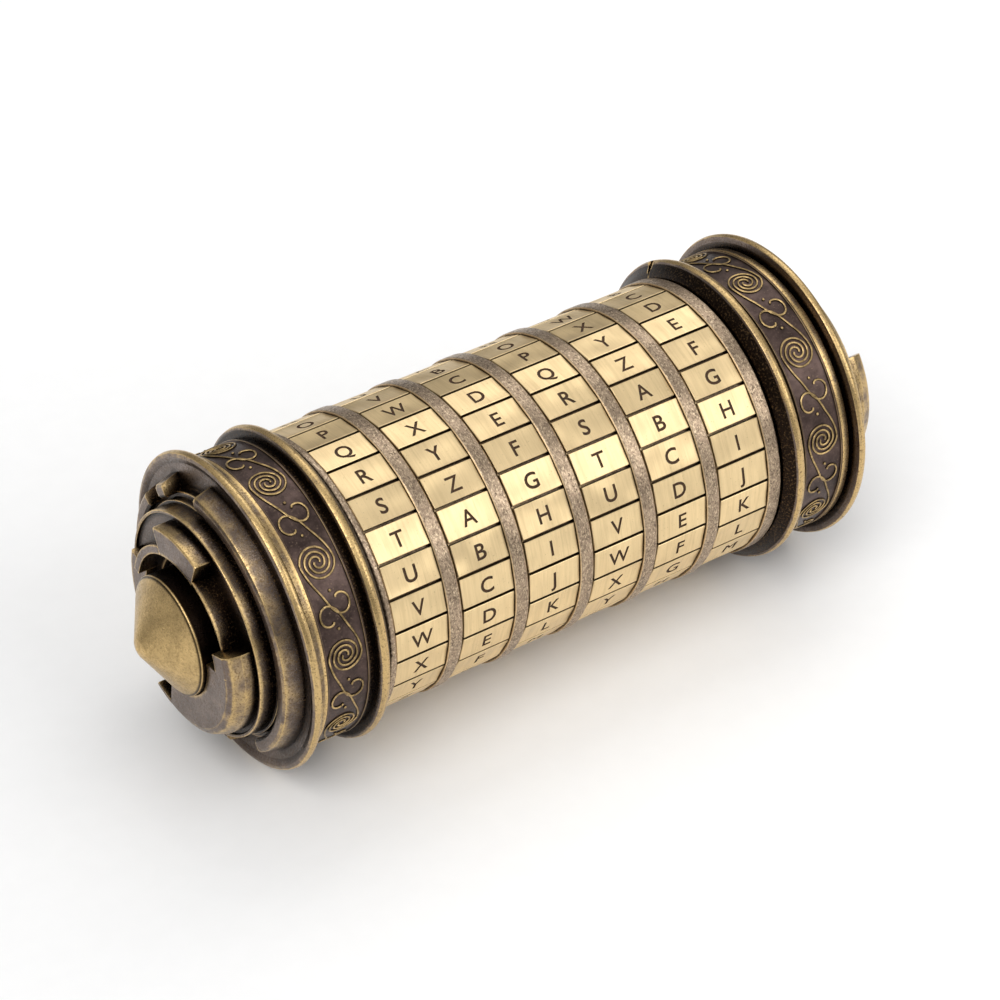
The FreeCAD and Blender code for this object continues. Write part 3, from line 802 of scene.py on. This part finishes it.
def dial_tree():
    """Engraved tiles, one for each letter, set round a dial's core."""
    make = GeometryMaker("engraved dial", {
        "Letters": "String",
        "Tile Width": "Float", "Tile Gap": "Float", "Tile Edge": "Float", "Tile Depth": "Float",
        "Flat Radius": "Float", "Letter Size": "Float", "Letter Weight": "Float",
        "Engraving": "Float", "Start Angle": "Float",
        "Tile": "Material", "Wax": "Material", "Band": "Material",
    })
    given = make.inputs
    count = make.add("FunctionNodeStringLength", {"String": given["Letters"]}).outputs["Length"]
    step = make.math("DIVIDE", math.tau, count)
    pitch = make.math("MULTIPLY", make.math("TANGENT", make.math("MULTIPLY", step, 0.5)),
                      make.math("MULTIPLY", given["Flat Radius"], 2.0))
    height = make.math("SUBTRACT", pitch, given["Tile Gap"])
    bevels = make.math("MULTIPLY", given["Tile Edge"], 2.0)
    inner_width = make.math("SUBTRACT", given["Tile Width"], bevels)
    inner_height = make.math("SUBTRACT", height, bevels)

    first = make.add("RepeatInput")
    last = make.add("RepeatOutput")
    first.pair_with_output(last)
    make.feed(first.inputs["Iterations"], count)
    turn = first.outputs["Iteration"]

    letter = make.add("FunctionNodeSliceString", {"String": given["Letters"], "Position": turn, "Length": 1})
    text = make.add("StringToCurves", {"String": letter.outputs["String"], "Size": given["Letter Size"]},
                    align_x="CENTER", align_y="BOTTOM_BASELINE")
    glyph = make.add("RealizeInstances", {"Geometry": text.outputs["Curve Instances"]}).outputs["Geometry"]
    drop = make.math("MULTIPLY", given["Letter Size"], -CAPITAL_SHARE / 2)
    glyph = make.add("SetPosition", {"Geometry": glyph, "Offset": make.vector(y=drop)}).outputs["Geometry"]
    glyph = make.add("SetSplineResolution", {"Geometry": glyph, "Resolution": 4}).outputs["Geometry"]
    glyph = make.add("ResampleCurve", {"Curve": glyph}, mode="EVALUATED").outputs["Curve"]
    tangent = make.add("InputTangent").outputs["Tangent"]
    outwards = make.add("ShaderNodeVectorMath", {0: tangent, 1: (0.0, 0.0, 1.0)}, operation="CROSS_PRODUCT")
    weight = {0: outwards.outputs["Vector"], "Scale": given["Letter Weight"]}
    widen = make.add("ShaderNodeVectorMath", weight, operation="SCALE").outputs["Vector"]
    glyph = make.add("SetPosition", {"Geometry": glyph, "Offset": widen}).outputs["Geometry"]

    frame_curve = make.add("CurvePrimitiveQuadrilateral", {"Width": inner_width, "Height": inner_height},
                           mode="RECTANGLE").outputs["Curve"]
    face = make.add("FillCurve", {"Curve": make.joined(frame_curve, glyph)}, mode="TRIANGLES").outputs["Mesh"]

    floor = make.add("FillCurve", {"Curve": glyph}, mode="TRIANGLES").outputs["Mesh"]
    depth = make.math("MULTIPLY", given["Engraving"], -1.0)
    recess = {"Mesh": floor, "Offset Scale": depth, "Individual": False}
    recess = make.add("ExtrudeMesh", recess, mode="FACES")
    waxed = make.add("StoreNamedAttribute", {"Geometry": recess.outputs["Mesh"], "Name": "part", "Value": 2},
                     data_type="INT", domain="FACE").outputs["Geometry"]

    base = make.add("FillCurve", {"Curve": frame_curve}, mode="NGONS").outputs["Mesh"]
    drop = make.math("MULTIPLY", given["Tile Edge"], -1.0)
    slope = make.add("ExtrudeMesh", {"Mesh": base, "Individual": False, "Offset Scale": drop}, mode="FACES")
    at = make.add("ShaderNodeSeparateXYZ", {"Vector": make.add("InputPosition").outputs["Position"]}).outputs
    wider = make.vector(
        make.math("MULTIPLY", at["X"], make.math("DIVIDE", given["Tile Width"], inner_width)),
        make.math("MULTIPLY", at["Y"], make.math("DIVIDE", height, inner_height)),
        at["Z"])
    spread = make.add("SetPosition", {"Geometry": slope.outputs["Mesh"], "Selection": slope.outputs["Top"],
                                      "Position": wider}).outputs["Geometry"]
    drop = make.math("MULTIPLY", given["Tile Depth"], -1.0)
    skirt = make.add("ExtrudeMesh", {"Mesh": spread, "Selection": slope.outputs["Top"], "Individual": False,
                                     "Offset Scale": drop}, mode="FACES")
    block = make.add("FlipFaces", {"Mesh": skirt.outputs["Mesh"]}).outputs["Mesh"]
    block = make.joined(face, block)
    brass = make.add("StoreNamedAttribute", {"Geometry": block, "Name": "part", "Value": 1},
                     data_type="INT", domain="FACE").outputs["Geometry"]

    tile = make.joined(brass, waxed)
    tile = make.add("MergeByDistance", {"Geometry": tile, "Distance": 1e-7}).outputs["Geometry"]
    middle = make.math("MULTIPLY", given["Tile Width"], 0.5)
    on_flat = make.vector(middle, 0.0, given["Flat Radius"])
    tile = make.add("Transform", {"Geometry": tile, "Translation": on_flat}).outputs["Geometry"]
    angle = make.math("ADD", given["Start Angle"], make.math("MULTIPLY", turn, step))
    spin = make.add("FunctionNodeAxisAngleToRotation", {"Axis": (1.0, 0.0, 0.0), "Angle": angle})
    turned = {"Geometry": tile, "Rotation": spin.outputs["Rotation"]}
    tile = make.add("Transform", turned).outputs["Geometry"]
    make.tree.links.new(make.joined(first.outputs["Geometry"], tile), last.inputs["Geometry"])

    whole = make.joined(given["Geometry"], last.outputs["Geometry"])
    whole = make.add("RealizeInstances", {"Geometry": whole}).outputs["Geometry"]
    part = make.add("InputNamedAttribute", {"Name": "part"}, data_type="INT").outputs["Attribute"]
    for number, label in enumerate(("Band", "Tile", "Wax")):
        chosen = make.add("FunctionNodeCompare", data_type="INT", operation="EQUAL")
        make.feed(chosen.inputs[2], part)
        make.feed(chosen.inputs[3], number)
        whole = make.add("SetMaterial", {"Geometry": whole, "Selection": chosen.outputs["Result"],
                                         "Material": given[label]}).outputs["Geometry"]
    return make.output(whole)


def scroll_tree():
    """Two-armed scrolls with their dots, laid end to end round a sleeve."""
    make = GeometryMaker("scroll band", {
        "Count": "Int", "Ground Radius": "Float", "Thickness": "Float",
        "Dot Radius": "Float", "Dot Place": "Vector",
        "Middle": "Float", "Start Angle": "Float", "Gold": "Material",
    })
    given = make.inputs
    half_thick = make.math("MULTIPLY", given["Thickness"], 0.5)
    path = make.add("MeshToCurve", {"Mesh": given["Geometry"]}).outputs["Curve"]
    round_section = make.add("CurvePrimitiveCircle", {"Radius": half_thick, "Resolution": 8}).outputs["Curve"]
    wire = {"Curve": path, "Profile Curve": round_section, "Fill Caps": True}
    arm = make.add("CurveToMesh", wire).outputs["Mesh"]
    dot = make.add("MeshIcoSphere", {"Radius": given["Dot Radius"], "Subdivisions": 2}).outputs["Mesh"]
    dot = make.add("Transform", {"Geometry": dot, "Translation": given["Dot Place"]}).outputs["Geometry"]
    one_side = make.joined(arm, dot)
    half_turn = make.add("FunctionNodeAxisAngleToRotation", {"Axis": (0.0, 0.0, 1.0), "Angle": math.pi})
    turned = {"Geometry": one_side, "Rotation": half_turn.outputs["Rotation"]}
    other_side = make.add("Transform", turned).outputs["Geometry"]
    scroll = make.joined(one_side, other_side)

    around = make.math("MULTIPLY", given["Ground Radius"], math.tau)
    spacing = make.math("DIVIDE", around, given["Count"])
    line = make.add("MeshLine", {"Count": given["Count"], "Start Location": (0.0, 0.0, 0.0),
                                 "Offset": make.vector(y=spacing)}, mode="OFFSET").outputs["Mesh"]
    row = make.add("InstanceOnPoints", {"Points": line, "Instance": scroll}).outputs["Instances"]
    row = make.add("RealizeInstances", {"Geometry": row}).outputs["Geometry"]

    at = make.add("ShaderNodeSeparateXYZ", {"Vector": make.add("InputPosition").outputs["Position"]}).outputs
    angle = make.math("ADD", make.math("DIVIDE", at["Y"], given["Ground Radius"]), given["Start Angle"])
    radius = make.math("ADD", given["Ground Radius"], at["Z"])
    bent = make.vector(
        make.math("ADD", at["X"], given["Middle"]),
        make.math("MULTIPLY", make.math("MULTIPLY", radius, make.math("SINE", angle)), -1.0),
        make.math("MULTIPLY", radius, make.math("COSINE", angle)))
    row = make.add("SetPosition", {"Geometry": row, "Position": bent}).outputs["Geometry"]
    row = make.add("FlipFaces", {"Mesh": row}).outputs["Mesh"]
    row = make.add("RealizeInstances", {"Geometry": row}).outputs["Geometry"]
    row = make.add("SetMaterial", {"Geometry": row, "Material": given["Gold"]}).outputs["Geometry"]
    return make.output(row)


# ---------------------------------------------------------------- operators


class CRYPTEX_OT_letter_dials(bpy.types.Operator):
    """Make the six letter dials: engraved tiles round a core with a plain band and splines"""

    bl_idname = "cryptex.letter_dials"
    bl_label = "Letter Dials"

    def execute(self, context):
        sizes = context.scene.cryptex_sizes
        tree = dial_tree()
        letters = len(sizes.alphabet)
        for number, letter in enumerate(DIAL_LETTERS, 1):
            node = f"letter_ring_{number}"
            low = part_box(node)[0]
            rest = INDEX_ANGLE + DIAL_PLAY[number - 1]
            place = Matrix.Translation((low.x, 0, AXIS_HEIGHT))
            core = scratch_object("dial_work", self.core(rest, letters))
            core.data.transform(Matrix.Scale(MM, 4))
            mesh = run_tree(core, tree, {
                "Letters": sizes.alphabet,
                "Tile Width": sizes.tile_width,
                "Tile Gap": sizes.tile_gap,
                "Tile Edge": sizes.tile_edge,
                "Tile Depth": TILE_DEPTH,
                "Flat Radius": sizes.flat_radius,
                "Letter Size": sizes.letter_height / CAPITAL_SHARE,
                "Letter Weight": sizes.letter_weight,
                "Engraving": sizes.engraving,
                "Start Angle": math.radians(rest - sizes.alphabet.index(letter) * 360 / letters),
                "Tile": finish_of(tile_brass, context),
                "Wax": finish_of(engraving_wax, context),
                "Band": finish_of(band_bronze, context),
            })
            discard(core)
            mesh.name = f"dial_{number}_letters"
            mesh.shade_smooth()
            mesh.set_sharp_from_angle(angle=SHARP_EDGE)
            mesh.transform(place)
            piece = bpy.data.objects.new(mesh.name, mesh)
            context.scene.collection.objects.link(piece)
            mark_wear(mesh)
            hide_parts(node)
            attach(piece, f"dial_{number}")
        return {"FINISHED"}

    @staticmethod
    def core(rest, letters):
        """The ring under the tiles, in millimetres: shoulder, splined bore, groove floor and plain band."""
        shoulder_r, bore_r, spline_r, floor_r, band_r = 18.9, 19.5, 20.1, 21.62, 22.5
        shoulder, band_start, band_end = 1.0, 8.9, 11.3
        face, chamfer = 0.02, 0.25
        half_spline = math.degrees(0.5 / bore_r)
        outline = rounded([
            (face, shoulder_r, 0.0), (face, floor_r, 0.0), (band_start, floor_r, 0.0),
            (band_start, band_r - 0.1, 0.0), (band_start + chamfer, band_r, 0.15),
            (band_end - chamfer, band_r, 0.15), (band_end, band_r - chamfer, 0.1),
            (band_end, bore_r, 0.0), (shoulder, bore_r, 0.0), (shoulder, shoulder_r, 0.0),
        ])
        step = 360 / letters
        land = step - 2 * half_spline - 2 * JUMP
        land_steps = 7
        angles, in_splines = [], []
        for k in range(letters):
            middle = rest + k * step
            for offset, in_spline in ((-half_spline - JUMP, False), (-half_spline, True), (half_spline, True),
                                      (half_spline + JUMP, False)):
                angles.append(middle + offset)
                in_splines.append(in_spline)
            for m in range(1, land_steps):
                angles.append(middle + half_spline + JUMP + land * m / land_steps)
                in_splines.append(False)
        bm = bmesh.new()
        lathe(bm, outline, angles)
        bm.verts.ensure_lookup_table()
        for k, in_spline in enumerate(in_splines):
            for i, point in enumerate(outline):
                if in_spline and abs(point.y - bore_r) < 1e-6:
                    vertex = bm.verts[k * len(outline) + i]
                    vertex.co.yz *= spline_r / bore_r
        bmesh.ops.recalc_face_normals(bm, faces=bm.faces)
        return bm


class CRYPTEX_OT_cap_hubs(bpy.types.Operator):
    """Make the inner half of each cap: rim, cove, sleeve seat, screw holes and the far cap's index notch"""

    bl_idname = "cryptex.cap_hubs"
    bl_label = "Cap Hubs"

    def execute(self, context):
        tube_radius = {"head": 14.4, "far": 15.9}
        socket_depth = 8.0
        for cap, (body, place) in CAPS.items():
            bore = tube_radius[cap]
            bm = bmesh.new()
            cap_lathe(bm, HUB_RIM + [(socket_depth, bore, 0.0), (0.0, bore, 0.0)])
            closed_up(bm)
            bm = cut_away(bm, self.cutters(cap))
            bmesh.ops.remove_doubles(bm, verts=bm.verts, dist=1e-5)
            piece = made(f"{cap}_hub", bm, place, finish_of(hub_brass, context))
            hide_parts(f"{cap}_cap_hub")
            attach(piece, body)
        return {"FINISHED"}

    @staticmethod
    def cutters(cap):
        """Three screw holes, and on the far cap the V notch that marks where the code is read."""
        screw_r, screw_place, screw_from, screw_to = 1.5, -5.8, 14.0, 23.0
        bm = bmesh.new()
        for angle in (60, 180, 300):
            turn = Matrix.Rotation(math.radians(angle), 4, "X")
            shift = Matrix.Translation((screw_place, 0, (screw_from + screw_to) / 2))
            bmesh.ops.create_cone(bm, cap_ends=True, segments=32, radius1=screw_r, radius2=screw_r,
                                  depth=screw_to - screw_from, matrix=turn @ shift)
        if cap == "far":
            # the hub is placed turned end for end and rolled, so the notch is turned back
            turn = Matrix.Rotation(math.radians(-(INDEX_ANGLE - math.degrees(FAR_CAP_ROLL))), 4, "X")
            notch_ends = (0.3, -2.1)
            notch_section = ((-0.8, 24.9), (0.8, 24.9), (0.0, 22.3))
            corners = [turn @ Vector((x, y, z)) for x in notch_ends for y, z in notch_section]
            verts = [bm.verts.new(c) for c in corners]
            for face in ((0, 1, 2), (5, 4, 3), (0, 3, 4, 1), (1, 4, 5, 2), (2, 5, 3, 0)):
                bm.faces.new([verts[i] for i in face])
        bmesh.ops.recalc_face_normals(bm, faces=bm.faces)
        return bm


class CRYPTEX_OT_filigree(bpy.types.Operator):
    """Make each cap's dark sleeve and the gold scrolls round it"""

    bl_idname = "cryptex.filigree"
    bl_label = "Filigree Sleeves"

    def execute(self, context):
        sizes = context.scene.cryptex_sizes
        tree = scroll_tree()
        middle = 7.5 * MM
        ground = 22.75 * MM
        # where each band of scrolls has its middle, and the angle of its first scroll
        bands = {"head": (HEAD_FACE - middle, 7.1), "far": (FAR_FACE + middle, 4.4)}
        for cap, (body, place) in CAPS.items():
            bm = bmesh.new()
            cap_lathe(bm, SLEEVE)
            closed_up(bm)
            sleeve = made(f"{cap}_sleeve", bm, place, finish_of(sleeve_ground, context))
            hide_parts(f"{cap}_filigree_sleeve")
            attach(sleeve, body)

            centre, first_angle = bands[cap]
            arm = scratch_object("scroll_work", self.arm(sizes.scroll_wire / MM))
            arm.data.transform(Matrix.Scale(MM, 4))
            mesh = run_tree(arm, tree, {
                "Count": sizes.scroll_count,
                "Ground Radius": ground,
                "Thickness": sizes.scroll_wire,
                "Dot Radius": sizes.scroll_wire * DOT_SHARE,
                "Dot Place": (SCROLL_DOT[0] * MM, SCROLL_DOT[1] * MM, 0.0),
                "Middle": centre,
                "Start Angle": math.radians(first_angle),
                "Gold": finish_of(scroll_gold, context),
            })
            discard(arm)
            mesh.name = f"{cap}_scrolls"
            mesh.shade_smooth()
            mesh.transform(Matrix.Translation((0, 0, AXIS_HEIGHT)))
            scrolls = bpy.data.objects.new(mesh.name, mesh)
            context.scene.collection.objects.link(scrolls)
            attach(scrolls, body)
        return {"FINISHED"}

    @staticmethod
    def arm(wire):
        """One arm's path, in millimetres: a smooth curl that runs on into the spiral."""
        steps = 30
        spiral = []
        for k in range(steps + 1):
            turn = math.tau * SPIRAL_TURNS * k / steps
            radius = SPIRAL_START + (SPIRAL_END - SPIRAL_START) * k / steps
            spiral.append(Vector((radius * math.cos(turn), radius * math.sin(turn), 0.0)))
        guides = [Vector((x, y, 0.0)) for x, y in SCROLL_CURL] + spiral
        # a smooth curve through the guides, in a few steps from each to the next
        smooth = 3
        lift = wire * 0.12
        bm = bmesh.new()
        last = None
        for k in range(len(guides) - 1):
            before, here = guides[max(k - 1, 0)], guides[k]
            there, after = guides[k + 1], guides[min(k + 2, len(guides) - 1)]
            for m in range(smooth if k < len(guides) - 2 else smooth + 1):
                t = m / smooth
                bend = 2 * before - 5 * here + 4 * there - after
                twist = 3 * here - before - 3 * there + after
                point = 0.5 * (2 * here + (there - before) * t + bend * t ** 2 + twist * t ** 3)
                point.z = lift
                vertex = bm.verts.new(point)
                if last:
                    bm.edges.new((last, vertex))
                last = vertex
        return bm


class CRYPTEX_OT_end_plates(bpy.types.Operator):
    """Make the outer half of each cap: outer rim, stepped collar, broken ring and lobes"""

    bl_idname = "cryptex.end_plates"
    bl_label = "End Plates"

    def execute(self, context):
        bevel = context.scene.cryptex_sizes.edge_bevel / MM
        for cap, (body, place) in CAPS.items():
            bm = bmesh.new()
            cap_lathe(bm, END_PLATE)
            closed_up(bm)
            boss = bmesh.new()
            for start, end in BROKEN_RING_ARCS:
                cap_lathe(boss, BROKEN_RING, start, end)
            for outline, start, end in BOSS_FEATURES:
                cap_lathe(boss, outline, start, end)
            stepped_lathe(boss, HIGH_LOBE, HIGH_LOBE_CREST, HIGH_LOBE_SPANS)
            bmesh.ops.recalc_face_normals(boss, faces=boss.faces)
            append(bm, bevelled(boss, bevel))
            piece = made(f"{cap}_plate", bm, place, finish_of(plate_brass, context))
            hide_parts(f"{cap}_end_plate")
            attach(piece, body)
        return {"FINISHED"}


class CRYPTEX_OT_finials(bpy.types.Operator):
    """Make the low cone with its neck and stud in the middle of each cap"""

    bl_idname = "cryptex.finials"
    bl_label = "Cone Finials"

    def execute(self, context):
        for cap, (body, place) in CAPS.items():
            bm = bmesh.new()
            cap_lathe(bm, FINIAL)
            closed_up(bm)
            piece = made(f"{cap}_cone", bm, place, finish_of(cone_brass, context))
            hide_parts(f"{cap}_cone_finial")
            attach(piece, body)
        return {"FINISHED"}


class CRYPTEX_OT_inner_parts(bpy.types.Operator):
    """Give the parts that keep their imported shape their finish: tubes, rail, code rings, screws and rivets"""

    bl_idname = "cryptex.inner_parts"
    bl_label = "Inner Parts"

    def execute(self, context):
        brass = finish_of(turned_brass, context)
        bronze = finish_of(band_bronze, context)
        steel = finish_of(screw_steel, context)
        chosen = {"barrel_tube": brass, "vault_tube": brass, "key_rail": brass, "retaining_ring": bronze,
                  "far_cap_screws": steel, "head_cap_screws": steel, "key_rivets": steel}
        for number in range(1, len(DIAL_LETTERS) + 1):
            chosen[f"code_ring_{number}"] = brass
        for node, material in chosen.items():
            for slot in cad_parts[node].material_slots:
                slot.material = material
        return {"FINISHED"}


class CRYPTEX_OT_stage(bpy.types.Operator):
    """Set the pale floor, the soft studio light and the camera"""

    bl_idname = "cryptex.stage"
    bl_label = "Stage"

    def execute(self, context):
        scene = context.scene
        self.floor(context)
        self.lights(scene)
        self.camera(scene)
        return {"FINISHED"}

    @staticmethod
    def floor(context):
        """A wide board that the rims lie on."""
        half = 4.0
        bm = bmesh.new()
        bmesh.ops.create_grid(bm, x_segments=2, y_segments=2, size=half)
        floor = scratch_object("floor", bm)
        floor.data.materials.append(finish_of(floor_paint, context))

    @staticmethod
    def lights(scene):
        """Soft boxes and a wide lamp, under a sky that is brightest overhead."""
        target = Vector((0.0, 0.0, AXIS_HEIGHT))
        for name, direction, width, height, radiance in LIGHT_BOXES:
            light = bpy.data.lights.new(name, "AREA")
            light.shape = "RECTANGLE"
            light.size = width
            light.size_y = height
            light.energy = radiance * math.pi * width * height
            lamp = bpy.data.objects.new(name, light)
            away = Vector(direction).normalized()
            across = Vector((1.0, 0.0, 0.0)) - away * away.x
            across.normalize()
            turn = Matrix((across, away.cross(across), away)).transposed().to_4x4()
            lamp.matrix_world = Matrix.Translation(target + away * LIGHT_DISTANCE) @ turn
            scene.collection.objects.link(lamp)
        sun = bpy.data.lights.new("wide_lamp", "SUN")
        sun.energy = WIDE_LAMP_STRENGTH
        sun.angle = WIDE_LAMP_ANGLE
        lamp = bpy.data.objects.new("wide_lamp", sun)
        lamp.matrix_world = WIDE_LAMP_DIRECTION.to_track_quat("Z", "Y").to_matrix().to_4x4()
        scene.collection.objects.link(lamp)
        world = bpy.data.worlds.new("sky")
        world.use_nodes = True
        nodes, links = world.node_tree.nodes, world.node_tree.links
        height = nodes.new("ShaderNodeSeparateXYZ")
        fade = nodes.new("ShaderNodeMapRange")
        fade.inputs["To Min"].default_value = SKY_AT_HORIZON
        fade.inputs["To Max"].default_value = SKY_OVERHEAD
        links.new(nodes.new("ShaderNodeTexCoord").outputs["Generated"], height.inputs["Vector"])
        links.new(height.outputs["Z"], fade.inputs["Value"])
        links.new(fade.outputs["Result"], nodes["Background"].inputs["Strength"])
        nodes["Background"].inputs["Color"].default_value = (1.0, 1.0, 1.0, 1.0)
        scene.world = world

    @staticmethod
    def camera(scene):
        """A long lens that looks down on the dials from the front left."""
        lens = bpy.data.cameras.new("camera")
        lens.lens = FOCAL_LENGTH
        lens.sensor_width = 36.0
        lens.clip_start = 0.01
        back = CAMERA_RIGHT.cross(CAMERA_UP)
        camera = bpy.data.objects.new("camera", lens)
        turn = Matrix((CAMERA_RIGHT, CAMERA_UP, back)).transposed().to_4x4()
        camera.matrix_world = Matrix.Translation(CAMERA_PLACE) @ turn
        scene.collection.objects.link(camera)
        scene.camera = camera
        scene.view_settings.view_transform = "Standard"


OPERATORS = (
    CRYPTEX_OT_letter_dials,
    CRYPTEX_OT_cap_hubs,
    CRYPTEX_OT_filigree,
    CRYPTEX_OT_end_plates,
    CRYPTEX_OT_finials,
    CRYPTEX_OT_inner_parts,
    CRYPTEX_OT_stage,
)


class CRYPTEX_PT_panel(bpy.types.Panel):
    """Sizes, colours and the steps that make the cryptex"""

    bl_idname = "CRYPTEX_PT_panel"
    bl_label = "Cryptex"
    bl_space_type = "VIEW_3D"
    bl_region_type = "UI"
    bl_category = "Cryptex"

    def draw(self, context):
        for group in (context.scene.cryptex_sizes, context.scene.cryptex_colours):
            box = self.layout.box()
            for name in group.bl_rna.properties.keys():
                if name not in ("rna_type", "name"):
                    box.prop(group, name)
        for operator in OPERATORS:
            self.layout.operator(operator.bl_idname)


CLASSES = (CryptexSizes, CryptexColours, *OPERATORS, CRYPTEX_PT_panel)


def register():
    for cls in CLASSES:
        bpy.utils.register_class(cls)
    bpy.types.Scene.cryptex_sizes = PointerProperty(type=CryptexSizes)
    bpy.types.Scene.cryptex_colours = PointerProperty(type=CryptexColours)


def unregister():
    del bpy.types.Scene.cryptex_colours
    del bpy.types.Scene.cryptex_sizes
    for cls in reversed(CLASSES):
        bpy.utils.unregister_class(cls)


def main():
    register()
    bpy.ops.cryptex.letter_dials()
    bpy.ops.cryptex.cap_hubs()
    bpy.ops.cryptex.filigree()
    bpy.ops.cryptex.end_plates()
    bpy.ops.cryptex.finials()
    bpy.ops.cryptex.inner_parts()
    bpy.ops.cryptex.stage()


if __name__ == "__main__":
    main()
